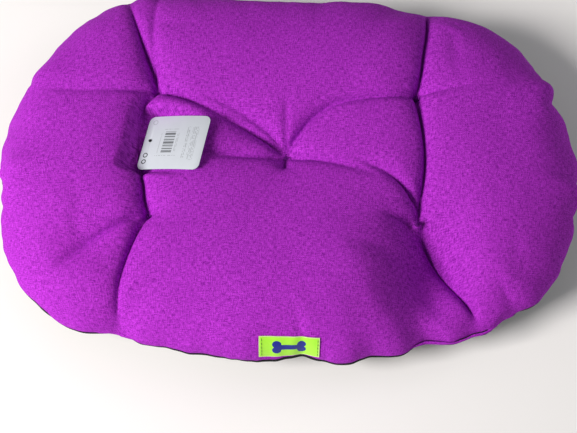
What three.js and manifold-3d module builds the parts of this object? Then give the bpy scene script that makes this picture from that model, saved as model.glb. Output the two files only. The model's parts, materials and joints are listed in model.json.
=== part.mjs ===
// Pet cushion bed: an oval, tufted cushion made of two cloth panels over loose wadding, with
// five thread tufts, a woven label on its front edge and a card tag on a nylon pin.
// Millimetres, +Z up, +X along the cushion. The origin is on the floor, under its middle.

import * as THREE from 'three';
import { mergeVertices } from 'three/addons/utils/BufferGeometryUtils.js';
import Module from 'manifold-3d';

const wasm = await Module();
wasm.setup();

// Overall sizes
const length = 550;
const width = 378;
const topLoft = 54; // crest of the top panel above the seam
const bottomLoft = 40; // seam above the floor
const outlinePower = 2.75; // 2 is an ellipse, more is squarer
const edgePower = 4.5; // how far out the panels stay full
const edgeRoundness = 0.6;
const dish = 0.2; // how much lower the middle is than the crest
const dishReach = 0.7;
const floorShare = 0.9; // share of the bottom loft at which it lies flat

// Cloth and seam
const cloth = 1.2;
const clearance = 0.3; // between pieces that touch
const seamAllowance = 9;
const seamInset = 2.6; // stitch line in from the edge
const seamThread = 0.8;
const closingLength = 140;

// Tufts
const tuftSpacingX = 247;
const tuftSpacingY = 128;
const tuftLevel = 25; // top of a tuft above the seam
const tuftLevelBottom = -25;
const tuftPad = 8;
const tuftThread = 1.6;
const tackWidth = 6.8;
const tackHeight = 1.5;

// Valleys between the tufts: half widths, and heights above the tufts
const wellShape = [[tuftPad, 0], [12, 7], [22, 15], [40, 23]];
const valleyShape = [[9, 0], [15, 9], [30, 17], [52, 24]];
const diagonalShape = [[3, 6], [10, 13], [24, 20], [40, 26]];
const valleyBow = 7.5; // how far the two cross valleys bow outwards

// Woven label, sewn on the front edge
const labelWidth = 54;
const labelHeight = 24.5;
const labelThickness = 0.6;
const labelStitchInset = 2;
const labelStitches = 5;
const labelThread = 0.7;
const labelAcross = 8; // its middle, to the right of the cushion's middle
const labelShare = 0.957; // place of its middle, from 0 at the cushion's middle to 1 at the seam
const labelLean = 48; // slope of the cloth there, in degrees
const labelDepth = 16; // depth of the blanks that cut it out
const stitchDepth = 4; // how far the stitches reach under the cloth

// Card tag and its nylon pin
const cardWidth = 64;
const cardHeight = 58;
const cardThickness = 0.45;
const cardCorner = 6;
const cardBow = 1.6;
const holeWidth = 1.8;
const holeFromEdge = 7;
const holeAboveMiddle = 2;
const holeAlong = 11; // hole behind the cushion's middle line
const holeOffValley = 2.6; // hole beside the valley's line
const cardTurn = -9.7;
const cardPitch = -4;
const cardLift = 2; // clears the valley's shoulder, as the card is stiff
const pinWidth = 1;
const pinReach = 9; // cloth to card, along the pin
const pinHeadWidth = 3;
const pinHeadHeight = 1;
const pinBarLength = 9;
const pinBarWidth = 1.2;
const pinBarSlack = 1; // room over the bar

// Mesh fineness
const outlineSteps = 40;
const rings = 6;
const roundSteps = 8;
const cardSteps = 6;
const cornerSteps = 4;
const tall = topLoft + bottomLoft + 40; // longer than the cushion is high

const violetCloth = new THREE.MeshStandardMaterial({ color: '#9a28ae', roughness: 0.95 });
const blackCloth = new THREE.MeshStandardMaterial({ color: '#15161a', roughness: 0.95 });
const wadding = new THREE.MeshStandardMaterial({ color: '#f0efe9', roughness: 1 });
const violetThread = new THREE.MeshStandardMaterial({ color: '#6a1c7c', roughness: 0.8 });
const blackThread = new THREE.MeshStandardMaterial({ color: '#15161a', roughness: 0.8 });
const limeWeave = new THREE.MeshStandardMaterial({ color: '#a5f03c', roughness: 0.85 });
const whiteCard = new THREE.MeshStandardMaterial({ color: '#dce3ea', roughness: 0.6 });
const blackNylon = new THREE.MeshStandardMaterial({ color: '#101014', roughness: 0.45 });

const radians = THREE.MathUtils.degToRad;

// A closed geometry as a solid that can be joined and cut
function solidOf(geometry) {
  const bare = geometry.clone();
  bare.deleteAttribute('normal');
  bare.deleteAttribute('uv');
  const merged = mergeVertices(bare, 1e-4);
  const corners = [];
  const index = merged.index.array;
  for (let i = 0; i < index.length; i += 3) {
    const [a, b, c] = index.slice(i, i + 3);
    if (a !== b && b !== c && c !== a) {
      corners.push(a, b, c);
    }
  }
  const vertProperties = new Float32Array(merged.attributes.position.array);
  return new wasm.Manifold(new wasm.Mesh({ numProp: 3, vertProperties, triVerts: new Uint32Array(corners) }));
}

function geometryOf(solid) {
  const mesh = solid.getMesh();
  const geometry = new THREE.BufferGeometry();
  geometry.setAttribute('position', new THREE.BufferAttribute(mesh.vertProperties, 3));
  geometry.setIndex(new THREE.BufferAttribute(mesh.triVerts, 1));
  const flat = geometry.toNonIndexed();
  flat.computeVertexNormals();
  return flat;
}

function outlineRadius(angle, inset) {
  const alongX = Math.abs(Math.cos(angle) / (length / 2 - inset)) ** outlinePower;
  const alongY = Math.abs(Math.sin(angle) / (width / 2 - inset)) ** outlinePower;
  return (alongX + alongY) ** (-1 / outlinePower);
}

function outlinePoints(inset) {
  const points = [];
  for (let i = 0; i < outlineSteps; i += 1) {
    const angle = (i / outlineSteps) * 2 * Math.PI;
    const radius = outlineRadius(angle, inset);
    points.push(new THREE.Vector2(radius * Math.cos(angle), radius * Math.sin(angle)));
  }
  return points;
}

// Heights of the panels as shares of their loft; share runs from 0 in the middle to 1 at the seam
function topShare(share) {
  const outward = THREE.MathUtils.smoothstep(share, 0, dishReach);
  return (1 - share ** edgePower) ** edgeRoundness * (1 - dish * (1 - outward));
}

function bottomShare(share) {
  return Math.min(1, (1 - share ** edgePower) ** edgeRoundness / floorShare);
}

const ringShares = [];
for (let i = 0; i <= rings; i += 1) {
  ringShares.push(Math.sin((Math.PI / 2) * (i / rings)));
}
const crestShare = Math.max(...ringShares.map(topShare));

// The plump form before tufting, made smaller by inset all round
function plumpForm(inset) {
  const profile = [];
  for (const share of ringShares) {
    profile.push(new THREE.Vector2(share, -(bottomLoft - inset) * bottomShare(share)));
  }
  for (const share of ringShares.slice(0, -1).reverse()) {
    profile.push(new THREE.Vector2(share, ((topLoft - inset) / crestShare) * topShare(share)));
  }
  const geometry = new THREE.LatheGeometry(profile, outlineSteps);
  const position = geometry.attributes.position;
  for (let i = 0; i < position.count; i += 1) {
    const share = Math.hypot(position.getX(i), position.getZ(i));
    const angle = Math.atan2(-position.getZ(i), position.getX(i));
    const radius = share * outlineRadius(angle, inset);
    position.setXYZ(i, radius * Math.cos(angle), radius * Math.sin(angle), position.getY(i));
  }
  return solidOf(geometry);
}

function ringSolid(outerInset, innerInset, low, high) {
  const shape = new THREE.Shape(outlinePoints(outerInset));
  shape.holes.push(new THREE.Path(outlinePoints(innerInset)));
  const geometry = new THREE.ExtrudeGeometry(shape, { depth: high - low, bevelEnabled: false });
  geometry.translate(0, 0, low);
  return solidOf(geometry);
}

function boxSolid(sizeX, sizeY, sizeZ, x, y, z) {
  const geometry = new THREE.BoxGeometry(sizeX, sizeY, sizeZ);
  geometry.translate(x, y, z);
  return solidOf(geometry);
}

function rodSolid(radius, low, high, x, y) {
  const geometry = new THREE.CylinderGeometry(radius, radius, high - low, roundSteps);
  geometry.rotateX(Math.PI / 2);
  geometry.translate(x, y, (low + high) / 2);
  return solidOf(geometry);
}

// A lathe about Z whose profile is [radius, height] from its lower end up
function turned(profile, steps) {
  const points = profile.map(([radius, height]) => new THREE.Vector2(radius, height));
  const geometry = new THREE.LatheGeometry(points, steps);
  geometry.rotateX(Math.PI / 2);
  return geometry;
}

const tufts = [
  { name: 'center', x: 0, y: 0 },
  { name: 'rear_left', x: -tuftSpacingX / 2, y: tuftSpacingY / 2 },
  { name: 'rear_right', x: tuftSpacingX / 2, y: tuftSpacingY / 2 },
  { name: 'front_left', x: -tuftSpacingX / 2, y: -tuftSpacingY / 2 },
  { name: 'front_right', x: tuftSpacingX / 2, y: -tuftSpacingY / 2 },
];

// A dimple pulled down by one tuft; inset makes it larger, so that layers nest
function well(tuft, inset, upwards) {
  const profile = [[0, 0]];
  for (const [radius, height] of wellShape) {
    profile.push([radius + inset, height]);
  }
  const [mouth] = wellShape.at(-1);
  profile.push([mouth + inset, tall], [0, tall]);
  const geometry = turned(profile, 2 * roundSteps);
  if (!upwards) {
    geometry.rotateX(Math.PI);
  }
  const level = upwards ? tuftLevel - inset : tuftLevelBottom + inset;
  geometry.translate(tuft.x, tuft.y, level);
  return solidOf(geometry);
}

// A valley in the top panel along a straight line, reaching past both plan points by its floor
function valley(from, to, halfSection, inset) {
  const [mouth] = halfSection.at(-1);
  const past = halfSection[0][0] + inset;
  const right = halfSection.map(([half, height]) => new THREE.Vector2(half + inset, height));
  right.push(new THREE.Vector2(mouth + inset, tall));
  const left = right.map((point) => new THREE.Vector2(-point.x, point.y)).reverse();
  const run = Math.hypot(to.x - from.x, to.y - from.y);
  const section = new THREE.Shape([...right, ...left]);
  const geometry = new THREE.ExtrudeGeometry(section, { depth: run + 2 * past, bevelEnabled: false });
  geometry.translate(0, 0, -past);
  geometry.rotateX(Math.PI / 2);
  geometry.rotateZ(Math.atan2(to.y - from.y, to.x - from.x) + Math.PI / 2);
  geometry.translate(from.x, from.y, tuftLevel - inset);
  return solidOf(geometry);
}

function tuftedForm(inset) {
  let solid = plumpForm(inset);
  for (const tuft of tufts) {
    solid = solid.subtract(well(tuft, inset, true));
    solid = solid.subtract(well(tuft, inset, false));
  }
  for (const side of [-1, 1]) {
    const rear = { x: (side * tuftSpacingX) / 2, y: tuftSpacingY / 2 };
    const front = { x: rear.x, y: -rear.y };
    const bowed = { x: rear.x + side * valleyBow, y: 0 };
    const rearEdge = { x: rear.x + side * 2 * valleyBow, y: width / 2 };
    const frontEdge = { x: rear.x + side * 4 * valleyBow, y: -width / 2 };
    for (const [from, to] of [[rearEdge, rear], [rear, bowed], [bowed, front], [front, frontEdge]]) {
      solid = solid.subtract(valley(from, to, valleyShape, inset));
    }
    for (const corner of [rear, front]) {
      solid = solid.subtract(valley({ x: 0, y: 0 }, corner, diagonalShape, inset));
    }
  }
  return solid;
}

// Tuft holes run right through covers and wadding
function tuftHoles() {
  const radius = tuftThread / 2 + clearance;
  return tufts.map((tuft) => rodSolid(radius, -tall, tall, tuft.x, tuft.y));
}

function subtractAll(solid, cutters) {
  return cutters.reduce((rest, cutter) => rest.subtract(cutter), solid);
}

// The card leans on the valley's shoulder, so its tilt follows from the shoulder's place and height
const [shoulderHalf, shoulderRise] = valleyShape[2];
const cardTilt = Math.atan2(shoulderRise + cardLift - pinReach, shoulderHalf - holeOffValley);

// Frame of the tag and the pin: origin at the hole in the card's underside, Z along the pin
function tagMatrix() {
  const frame = new THREE.Group();
  const alongValley = holeAlong / (tuftSpacingY / 2);
  const valleyX = -tuftSpacingX / 2 - valleyBow * (1 - alongValley);
  frame.position.set(valleyX + holeOffValley, holeAlong, tuftLevel + pinReach);
  frame.rotation.set(radians(cardPitch), -cardTilt, radians(cardTurn), 'ZXY');
  frame.updateMatrix();
  return frame.matrix;
}

// Frame on the front slope where the label is sewn: Y up the slope, Z out of the cloth
function labelMatrix() {
  const frame = new THREE.Group();
  const height = (topLoft / crestShare) * topShare(labelShare);
  frame.position.set(labelAcross, (-width / 2) * labelShare, height);
  frame.rotation.set(radians(labelLean), 0, 0);
  frame.updateMatrix();
  return frame.matrix;
}

function placed(solid, matrix) {
  return solid.transform(matrix.elements);
}

// The pin's bar lies under the cloth; these are distances down the pin from the card's underside
const clothDrop = (pinReach + cloth) / Math.cos(cardTilt);
const barDrop = clothDrop + pinBarSlack + pinBarWidth / 2;

function pinHole() {
  return placed(rodSolid(holeWidth / 2, -barDrop, 0, 0, 0), tagMatrix());
}

// Round, so that the bar can turn in it
function pinPocket() {
  const radius = pinBarLength / 2 + 2 * clearance;
  const low = -barDrop - pinBarWidth / 2 - 2 * clearance;
  return placed(rodSolid(radius, low, -clothDrop + radius * Math.sin(cardTilt), 0, 0), tagMatrix());
}

function pinSolid() {
  const bar = new THREE.CylinderGeometry(pinBarWidth / 2, pinBarWidth / 2, pinBarLength, roundSteps);
  bar.translate(0, 0, -barDrop);
  const headLow = cardThickness + clearance;
  const filament = rodSolid(pinWidth / 2, -barDrop, headLow + pinHeadHeight / 2, 0, 0);
  const head = rodSolid(pinHeadWidth / 2, headLow, headLow + pinHeadHeight, 0, 0);
  return placed(solidOf(bar).add(filament).add(head), tagMatrix());
}

// The card's sheet, arched from its hole edge to its far edge
function archedSheet(farEdge, rearEdge) {
  const arch = (x) => cardBow * (1 - ((2 * (x + holeFromEdge)) / cardWidth - 1) ** 2);
  const under = [];
  for (let i = 0; i <= cardSteps; i += 1) {
    const x = -holeFromEdge + (i / cardSteps) * (farEdge + holeFromEdge);
    under.push(new THREE.Vector2(x, arch(x) - arch(0)));
  }
  const over = under.map((point) => new THREE.Vector2(point.x, point.y + cardThickness)).reverse();
  const section = new THREE.Shape([...under, ...over]);
  const geometry = new THREE.ExtrudeGeometry(section, { depth: cardHeight, bevelEnabled: false });
  geometry.rotateX(Math.PI / 2);
  geometry.translate(0, rearEdge, 0);
  return solidOf(geometry);
}

function cardSolid() {
  const farEdge = cardWidth - holeFromEdge;
  const rearEdge = cardHeight / 2 - holeAboveMiddle;
  const frontEdge = rearEdge - cardHeight;
  const blank = new THREE.Shape();
  const quarter = Math.PI / 2;
  const corner = cardCorner;
  blank.absarc(farEdge - corner, rearEdge - corner, corner, 0, quarter);
  blank.absarc(-holeFromEdge + corner, rearEdge - corner, corner, quarter, 2 * quarter);
  blank.absarc(-holeFromEdge + corner, frontEdge + corner, corner, 2 * quarter, 3 * quarter);
  blank.absarc(farEdge - corner, frontEdge + corner, corner, 3 * quarter, 4 * quarter);
  const options = { depth: 2 * cardWidth, bevelEnabled: false, curveSegments: cornerSteps };
  const geometry = new THREE.ExtrudeGeometry(blank, options);
  geometry.translate(0, 0, -cardWidth);
  const hole = rodSolid(holeWidth / 2, -cardWidth, cardWidth, 0, 0);
  const card = archedSheet(farEdge, rearEdge).intersect(solidOf(geometry)).subtract(hole);
  return placed(card, tagMatrix());
}

// A skin that follows the plump form, between two heights above its cloth
function skin(low, high) {
  return plumpForm(-high).subtract(plumpForm(-low));
}

function labelSolid() {
  const blank = placed(boxSolid(labelWidth, labelHeight, labelDepth, 0, 0, 0), labelMatrix());
  return skin(clearance, clearance + labelThickness).intersect(blank);
}

// One row of stitches at a short end of the label: a run of thread on top and its stitch legs
const stitchX = labelWidth / 2 - labelStitchInset;
const stitchRun = labelHeight - 2 * labelStitchInset;

function stitchRods(side, radius, low, high) {
  const rods = [];
  for (let i = 0; i < labelStitches; i += 1) {
    const y = stitchRun * (i / (labelStitches - 1) - 0.5);
    rods.push(placed(rodSolid(radius, low, high, side * stitchX, y), labelMatrix()));
  }
  return rods;
}

function labelThreadSolid(side) {
  const threadLow = 2 * clearance + labelThickness;
  const threadHigh = threadLow + labelThread;
  const blank = boxSolid(labelThread, stitchRun + labelThread, labelDepth, side * stitchX, 0, 0);
  const run = skin(threadLow, threadHigh).intersect(placed(blank, labelMatrix()));
  const legs = stitchRods(side, labelThread / 2, -stitchDepth, labelDepth / 2);
  const under = plumpForm(-threadHigh);
  return legs.reduce((solid, leg) => solid.add(leg.intersect(under)), run);
}

function labelStitchHoles() {
  const radius = labelThread / 2 + clearance;
  const low = -stitchDepth - clearance;
  return [-1, 1].flatMap((side) => stitchRods(side, radius, low, labelDepth));
}

// Groove that the seam thread lies in, half of it in each cover
function seamGroove() {
  const half = seamThread / 2 + clearance;
  return ringSolid(seamInset - clearance, seamInset + seamThread + clearance, -half, half);
}

function seamThreadSolid(closing) {
  const half = seamThread / 2;
  const ring = ringSolid(seamInset, seamInset + seamThread, -half, half);
  const gap = closing ? 0 : 2 * clearance;
  const rear = boxSolid(closingLength + gap, width, tall, 0, width / 2, 0);
  return closing ? ring.intersect(rear) : ring.subtract(rear);
}

// One panel of the cover, from the seam plane up (side 1) or down (side -1)
function coverSolid(outer, hollow, side) {
  const near = clearance / 2;
  const far = near + cloth;
  const half = boxSolid(2 * length, 2 * width, tall, 0, 0, side * (near + tall / 2));
  const [low, high] = side > 0 ? [near, far] : [-far, -near];
  const allowance = ringSolid(0, seamAllowance, low, high).intersect(outer);
  const panel = outer.subtract(hollow).intersect(half).add(allowance);
  return subtractAll(panel, [...tuftHoles(), seamGroove()]);
}

function fillingSolid() {
  const reach = clearance / 2 + cloth + clearance;
  const slot = ringSolid(-seamAllowance, seamAllowance + clearance, -reach, reach);
  const cutters = [slot, ...tuftHoles(), ...labelStitchHoles(), pinPocket()];
  return subtractAll(tuftedForm(cloth + clearance), cutters);
}

// Thread through one tuft, with a bar tack on each face of the cushion
function tuftThreadGeometry(tuft) {
  const tack = tackWidth / 2;
  const thread = tuftThread / 2;
  const low = tuftLevelBottom - clearance;
  const high = tuftLevel + clearance;
  const profile = [
    [0, low - tackHeight],
    [0.6 * tack, low - tackHeight],
    [tack, low - tackHeight / 2],
    [0.8 * tack, low],
    [thread, low],
    [thread, high],
    [0.8 * tack, high],
    [tack, high + tackHeight / 2],
    [0.6 * tack, high + tackHeight],
    [0, high + tackHeight],
  ];
  const geometry = turned(profile, roundSteps);
  geometry.translate(tuft.x, tuft.y, 0);
  return geometry;
}

const cushion = new THREE.Group();
cushion.position.z = bottomLoft;

function addPiece(name, geometry, material) {
  const piece = new THREE.Mesh(geometry, material);
  piece.name = name;
  cushion.add(piece);
}

const outerForm = tuftedForm(0);
const hollowForm = tuftedForm(cloth);
const topPanel = coverSolid(outerForm, hollowForm, 1);
const topCover = subtractAll(topPanel, [...labelStitchHoles(), pinHole()]);
addPiece('top_cover', geometryOf(topCover), violetCloth);
addPiece('bottom_cover', geometryOf(coverSolid(outerForm, hollowForm, -1)), blackCloth);
addPiece('filling', geometryOf(fillingSolid()), wadding);
addPiece('perimeter_seam_thread', geometryOf(seamThreadSolid(false)), violetThread);
addPiece('closing_seam_thread', geometryOf(seamThreadSolid(true)), violetThread);
for (const tuft of tufts) {
  addPiece(`tuft_thread_${tuft.name}`, tuftThreadGeometry(tuft), blackThread);
}
addPiece('front_label', geometryOf(subtractAll(labelSolid(), labelStitchHoles())), limeWeave);
addPiece('label_thread_left', geometryOf(labelThreadSolid(-1)), limeWeave);
addPiece('label_thread_right', geometryOf(labelThreadSolid(1)), limeWeave);
addPiece('tag_pin', geometryOf(pinSolid()), blackNylon);
addPiece('hang_tag', geometryOf(cardSolid()), whiteCard);

export default cushion;
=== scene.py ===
# Pet cushion bed: an oval cushion of violet plain-weave cloth over loose wadding, with a dark
# underside, five thread tufts, a woven label on its front edge and a card tag on a nylon pin.
import json
import math

import bpy
import numpy as np
from mathutils import Matrix, Vector, noise
from mathutils.bvhtree import BVHTree
from mathutils.kdtree import KDTree


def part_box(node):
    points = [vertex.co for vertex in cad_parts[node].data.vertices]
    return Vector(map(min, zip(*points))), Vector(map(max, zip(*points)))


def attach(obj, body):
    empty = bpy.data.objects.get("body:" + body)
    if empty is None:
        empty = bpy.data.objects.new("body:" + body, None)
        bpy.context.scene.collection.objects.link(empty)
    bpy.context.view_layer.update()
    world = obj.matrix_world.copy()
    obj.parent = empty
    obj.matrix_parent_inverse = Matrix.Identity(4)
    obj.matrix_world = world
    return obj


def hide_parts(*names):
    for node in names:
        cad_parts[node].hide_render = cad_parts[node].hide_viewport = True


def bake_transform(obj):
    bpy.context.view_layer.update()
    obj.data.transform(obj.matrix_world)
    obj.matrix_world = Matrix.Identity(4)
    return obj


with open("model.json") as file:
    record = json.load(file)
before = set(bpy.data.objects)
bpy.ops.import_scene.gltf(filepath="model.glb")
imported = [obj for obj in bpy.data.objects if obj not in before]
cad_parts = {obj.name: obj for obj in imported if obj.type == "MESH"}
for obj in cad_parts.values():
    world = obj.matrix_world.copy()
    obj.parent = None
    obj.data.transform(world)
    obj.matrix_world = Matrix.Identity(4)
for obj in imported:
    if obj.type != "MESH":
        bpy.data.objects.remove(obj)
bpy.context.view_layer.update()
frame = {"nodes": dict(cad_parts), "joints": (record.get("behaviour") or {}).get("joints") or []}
mm = 0.001
scene = bpy.context.scene

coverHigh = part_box("top_cover")[1]
seamLow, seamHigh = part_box("perimeter_seam_thread")
halfLength = coverHigh.x
halfWidth = coverHigh.y
seamHeight = (seamLow.z + seamHigh.z) / 2
topLoft = coverHigh.z - seamHeight
tuftNodes = sorted(name for name in frame["nodes"] if name.startswith("tuft_thread"))


def nodeMiddle(name):
    low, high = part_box(name)
    return (low + high) / 2


def linearColour(hexColour):
    channels = [int(hexColour[i:i + 2], 16) / 255 for i in (1, 3, 5)]
    return [c / 12.92 if c <= 0.04045 else ((c + 0.055) / 1.055) ** 2.4 for c in channels] + [1]


def smoothStep(t):
    t = np.clip(t, 0, 1)
    return t * t * (3 - 2 * t)


def selectOnly(piece):
    bpy.ops.object.select_all(action="DESELECT")
    piece.select_set(True)
    bpy.context.view_layer.objects.active = piece


def pointsOf(piece):
    points = np.empty(len(piece.data.vertices) * 3)
    piece.data.vertices.foreach_get("co", points)
    return points.reshape(-1, 3)


def setPoints(piece, points):
    piece.data.vertices.foreach_set("co", np.asarray(points, float).ravel())
    piece.data.update()


def normalsOf(piece):
    normals = np.empty(len(piece.data.vertices) * 3)
    piece.data.vertex_normals.foreach_get("vector", normals)
    return normals.reshape(-1, 3)


def applyModifier(piece, kind, settings):
    selectOnly(piece)
    modifier = piece.modifiers.new(kind.lower(), kind)
    for name, value in settings.items():
        setattr(modifier, name, value)
    bpy.ops.object.modifier_apply(modifier=modifier.name)


def finishPiece(piece, body, slotName, material, *replaced):
    # the piece takes the material, rides a body and stands for the CAD nodes named, which are hidden; the
    # slot name is not used
    piece.data.materials.clear()
    piece.data.materials.append(material)
    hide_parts(*replaced)
    if body:
        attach(piece, body)
    return piece


look = {
    "elevation": 65.2,  # degrees above the floor
    "turn": 2.15,  # degrees round to the right
    "roll": -0.75,
    "distance": 1.189,  # metres from the middle of the seam
    "lens": 77.1,
    "aimBelow": 2.16,  # degrees that the camera looks below the cushion's middle
    "aimRight": 0.11,
}


def addCamera():
    elevation, turn = math.radians(look["elevation"]), math.radians(look["turn"])
    away = Vector((math.sin(turn) * math.cos(elevation),
                   -math.cos(turn) * math.cos(elevation), math.sin(elevation)))
    camera = bpy.data.objects.new("camera", bpy.data.cameras.new("camera"))
    scene.collection.objects.link(camera)
    camera.data.lens = look["lens"]
    camera.data.sensor_width = 36
    camera.location = Vector((0, 0, seamHeight)) + look["distance"] * away
    aim = (-away).to_track_quat("-Z", "Y").to_matrix()
    aim = aim @ Matrix.Rotation(math.radians(-look["aimBelow"]), 3, "X")
    aim = aim @ Matrix.Rotation(math.radians(-look["aimRight"]), 3, "Y")
    aim = aim @ Matrix.Rotation(math.radians(look["roll"]), 3, "Z")
    camera.rotation_euler = aim.to_euler()
    scene.camera = camera


studio = {
    "world": 0.14,  # strength of the even white surround
    "lights": {  # place in metres, size in metres, watts, colour
        "keyLeft": ((-1.75, -0.9, 1.5), 1.0, 77, "#fffaf6"),
        "fillRight": ((1.5, 0.5, 0.9), 0.9, 5, "#ffffff"),
    },
    "floor": "#fafafa",
}


def addStudio():
    world = bpy.data.worlds.new("studio")
    scene.world = world
    world.use_nodes = True
    world.node_tree.nodes["Background"].inputs["Color"].default_value = (1, 1, 1, 1)
    world.node_tree.nodes["Background"].inputs["Strength"].default_value = studio["world"]
    for name, (place, size, watts, colour) in studio["lights"].items():
        lamp = bpy.data.lights.new(name, "AREA")
        lamp.size = size
        lamp.energy = watts
        lamp.color = linearColour(colour)[:3]
        holder = bpy.data.objects.new(name, lamp)
        scene.collection.objects.link(holder)
        holder.location = place
        holder.rotation_euler = (-Vector(place)).to_track_quat("-Z", "Y").to_euler()
    bpy.ops.object.select_all(action="DESELECT")
    bpy.ops.mesh.primitive_plane_add(size=8, location=(0, 0, 0))
    floor = bpy.context.object
    floor.name = "floor"
    floor.data.materials.append(paintedFloor())
    scene.view_settings.view_transform = "Standard"


def addNode(tree, kind, settings=None, links=None):
    node = tree.nodes.new(kind)
    for name, value in (settings or {}).items():
        if isinstance(name, int) or name in node.inputs:
            node.inputs[name].default_value = value
        else:
            setattr(node, name, value)
    for name, source in (links or {}).items():
        output = source[0].outputs[source[1]] if isinstance(source, tuple) else source.outputs[0]
        tree.links.new(output, node.inputs[name])
    return node


def newMaterial(name, shader):
    material = bpy.data.materials.new(name)
    material.use_nodes = True
    tree = material.node_tree
    tree.nodes.clear()
    surface = addNode(tree, "ShaderNodeBsdfPrincipled", shader)
    addNode(tree, "ShaderNodeOutputMaterial", None, {"Surface": surface})
    return material, tree, surface


def tintSurface(tree, surface, share, darkHex, lightHex):
    tint = addNode(tree, "ShaderNodeMix", {
        "data_type": "RGBA", 6: linearColour(darkHex), 7: linearColour(lightHex)}, {0: share})
    tree.links.new(tint.outputs[2], surface.inputs["Base Color"])


def embossSurface(tree, surface, height, strength, depth):
    # fine relief in the shading only, its depth in mm
    relief = addNode(tree, "ShaderNodeBump", {"Strength": strength, "Distance": depth * mm},
                     {"Height": height})
    tree.links.new(relief.outputs[0], surface.inputs["Normal"])


def insideBox(tree, parts, middle, half):
    # one inside a box of the pattern's X and Y, nothing outside it
    inX = addNode(tree, "ShaderNodeMath", {"operation": "COMPARE", 1: middle[0], 2: half[0]},
                  {0: (parts, "X")})
    inY = addNode(tree, "ShaderNodeMath", {"operation": "COMPARE", 1: middle[1], 2: half[1]},
                  {0: (parts, "Y")})
    return addNode(tree, "ShaderNodeMath", {"operation": "MULTIPLY"}, {0: inX, 1: inY})


def paintedFloor():
    # matt white studio floor, rolled paint: even, with a barely visible mottle
    material, tree, surface = newMaterial("mattPaintFloor", {"Roughness": 0.9})
    place = addNode(tree, "ShaderNodeTexCoord")
    mottle = addNode(tree, "ShaderNodeTexNoise", {"Scale": 3.0, "Detail": 4.0},
                     {"Vector": (place, "Object")})
    tintSurface(tree, surface, mottle, studio["floor"], "#ffffff")
    return material


topCloth = {
    "threadPitch": 1.0,  # mm, a coarse cotton and linen yarn
    "slubLength": 4.5,  # mm, along a thread
    "patchSize": 34,  # mm, slow change of dye
    "lightThread": "#c83fe0",
    "darkThread": "#6f0c86",
    "patchTint": "#9422ac",
    "roughness": 0.85,
    "sheen": 0.05,
}
bottomCloth = {
    "threadPitch": 0.8,
    "slubLength": 12,
    "patchSize": 50,
    "lightThread": "#24252b",
    "darkThread": "#0d0e12",
    "patchTint": "#17181c",
    "roughness": 0.8,
    "sheen": 0.08,
}


def plainWeave(name, cloth):
    # plain-weave cloth of uneven yarn: each thread runs over one and under the next, light and
    # dark slubs lie along the threads, and the surface is matt with a little fibre sheen
    material, tree, surface = newMaterial(name, {
        "Roughness": cloth["roughness"], "Specular IOR Level": 0.08, "Sheen Weight": cloth["sheen"],
        "Sheen Roughness": 0.5, "Sheen Tint": linearColour(cloth["lightThread"]),
    })
    pattern = addNode(tree, "ShaderNodeUVMap", {"uv_map": "cloth"})
    perMetre = 1 / mm
    threads = perMetre / cloth["threadPitch"]
    slubs = perMetre / cloth["slubLength"]
    yarns = []
    waves = []
    for axis, scale in (("X", (threads, slubs, 1)), ("Y", (slubs, threads, 1))):
        stretched = addNode(tree, "ShaderNodeMapping", {"Scale": scale}, {"Vector": pattern})
        yarns.append(addNode(tree, "ShaderNodeTexNoise", {"Scale": 1.0, "Detail": 2.0, "Roughness": 0.7},
                             {"Vector": stretched}))
        parts = addNode(tree, "ShaderNodeSeparateXYZ", None, {0: pattern})
        turned = addNode(tree, "ShaderNodeMath", {"operation": "MULTIPLY", 1: threads * math.pi},
                         {0: (parts, axis)})
        waves.append(addNode(tree, "ShaderNodeMath", {"operation": "SINE"}, {0: turned}))
    over = addNode(tree, "ShaderNodeMath", {"operation": "MULTIPLY"}, {0: waves[0], 1: waves[1]})
    warpOnTop = addNode(tree, "ShaderNodeMapRange", {
        "From Min": -0.35, "From Max": 0.35, "To Min": 0.2, "To Max": 0.8}, {0: over})
    yarn = addNode(tree, "ShaderNodeMix", {"data_type": "FLOAT"},
                   {0: warpOnTop, 2: yarns[0], 3: yarns[1]})
    shade = addNode(tree, "ShaderNodeMapRange", {"From Min": 0.36, "From Max": 0.62}, {0: yarn})
    threadColour = addNode(tree, "ShaderNodeMix", {
        "data_type": "RGBA", 6: linearColour(cloth["darkThread"]), 7: linearColour(cloth["lightThread"]),
    }, {0: shade})
    patches = addNode(tree, "ShaderNodeTexNoise", {
        "Scale": perMetre / cloth["patchSize"], "Detail": 2.0}, {"Vector": pattern})
    patchShare = addNode(tree, "ShaderNodeMath", {"operation": "MULTIPLY", 1: 0.35}, {0: patches})
    dyed = addNode(tree, "ShaderNodeMix", {"data_type": "RGBA", 7: linearColour(cloth["patchTint"])},
                   {0: patchShare, 6: (threadColour, 2)})
    tree.links.new(dyed.outputs[2], surface.inputs["Base Color"])
    height = addNode(tree, "ShaderNodeMath", {"operation": "ADD"}, {0: yarn, 1: over})
    embossSurface(tree, surface, height, 0.35, 0.25)
    return material


def fibreWadding():
    # carded polyester fibre: white, matt and lumpy, with fine hairs lying every way
    material, tree, surface = newMaterial("polyesterWadding", {
        "Roughness": 0.95, "Sheen Weight": 0.3, "Subsurface Weight": 0.1})
    place = addNode(tree, "ShaderNodeTexCoord")
    fibres = addNode(tree, "ShaderNodeTexNoise", {
        "Scale": 1 / (1.5 * mm), "Detail": 4.0, "Distortion": 2.0}, {"Vector": (place, "Object")})
    tintSurface(tree, surface, fibres, "#dddcd4", "#fbfaf6")
    embossSurface(tree, surface, fibres, 0.6, 0.8)
    return material


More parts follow.
